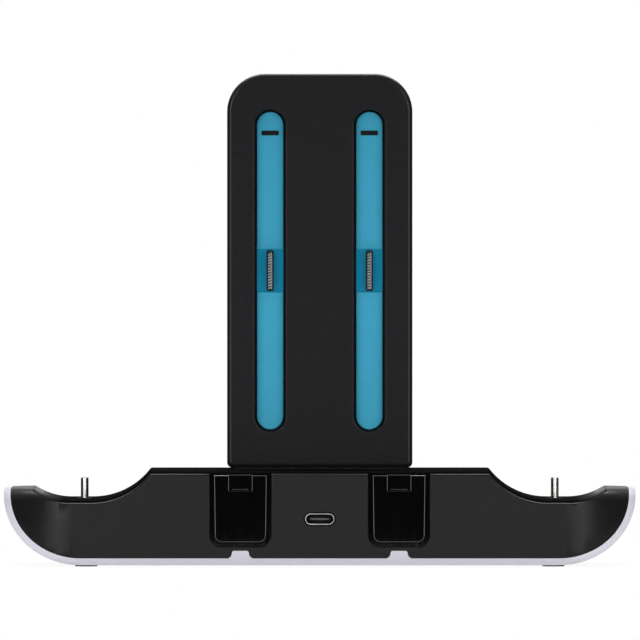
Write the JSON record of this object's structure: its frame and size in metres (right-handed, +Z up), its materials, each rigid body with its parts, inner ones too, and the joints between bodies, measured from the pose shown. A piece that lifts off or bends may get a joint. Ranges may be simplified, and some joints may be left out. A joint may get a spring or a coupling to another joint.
{
  "type": "controller charging dock",
  "caption": "Charging dock with a saddle-shaped base, upright charge plugs in side wells and a rounded tower with blue recessed rails for detachable controller halves.",
  "frame": {"origin": "middle of the dock on the ground, under its feet", "axes": "+X along the dock to the viewer's right, +Y away from the near face, +Z up"},
  "size_m": [0.1996, 0.064, 0.1555],
  "materials": {
    "white_shell": "fine satin grain",
    "black_shell": "fine matte grain",
    "black_gloss": "polished",
    "blue_liner": "satin",
    "blue_bezel": "satin",
    "stop_plastic": "satin",
    "connector_black": "satin",
    "inner_plastic": "plain",
    "contact_metal": "fine brushed",
    "plug_steel": "drawn and brushed",
    "inlet_steel": "drawn",
    "screw_steel": "zinc plated",
    "magnet_metal": "nickel plated",
    "coil_ferrite": "sintered",
    "board_laminate": "lacquered",
    "ribbon_film": "smooth film",
    "gasket_rubber": "matte",
    "foot_rubber": "matte"
  },
  "bodies": {
    "root": {"base_screws": "screw_steel", "board_screws": "screw_steel", "body_shell": "black_shell", "cradle": "white_shell", "inlet_shell": "inlet_steel", "inlet_tongue": "connector_black", "left_charge_chip": "connector_black", "left_connector_bar": "connector_black", "left_connector_bezel": "blue_bezel", "left_contact_strip": "contact_metal", "left_far_foot": "foot_rubber", "left_latch_tab": "black_gloss", "left_lower_magnet": "magnet_metal", "left_near_foot": "foot_rubber", "left_plug_carrier": "inner_plastic", "left_plug_core": "connector_black", "left_plug_gasket": "gasket_rubber", "left_plug_shell": "plug_steel", "left_pocket_insert": "black_gloss", "left_power_coil": "coil_ferrite", "left_rail_liner": "blue_liner", "left_stop_pad": "stop_plastic", "left_upper_magnet": "magnet_metal", "main_board": "board_laminate", "retainer_screws": "screw_steel", "ribbon_cable": "ribbon_film", "ribbon_socket": "inner_plastic", "right_charge_chip": "connector_black", "right_connector_bar": "connector_black", "right_connector_bezel": "blue_bezel", "right_contact_strip": "contact_metal", "right_far_foot": "foot_rubber", "right_latch_tab": "black_gloss", "right_lower_magnet": "magnet_metal", "right_near_foot": "foot_rubber", "right_plug_carrier": "inner_plastic", "right_plug_core": "connector_black", "right_plug_gasket": "gasket_rubber", "right_plug_shell": "plug_steel", "right_pocket_insert": "black_gloss", "right_power_coil": "coil_ferrite", "right_rail_liner": "blue_liner", "right_stop_pad": "stop_plastic", "right_upper_magnet": "magnet_metal", "top_cover": "black_shell", "tower_board": "board_laminate", "tower_board_screws": "screw_steel", "tower_front": "black_shell", "tower_rear": "black_shell", "tower_retainer": "inner_plastic", "tower_screws": "screw_steel"}
  },
  "joints": []
}
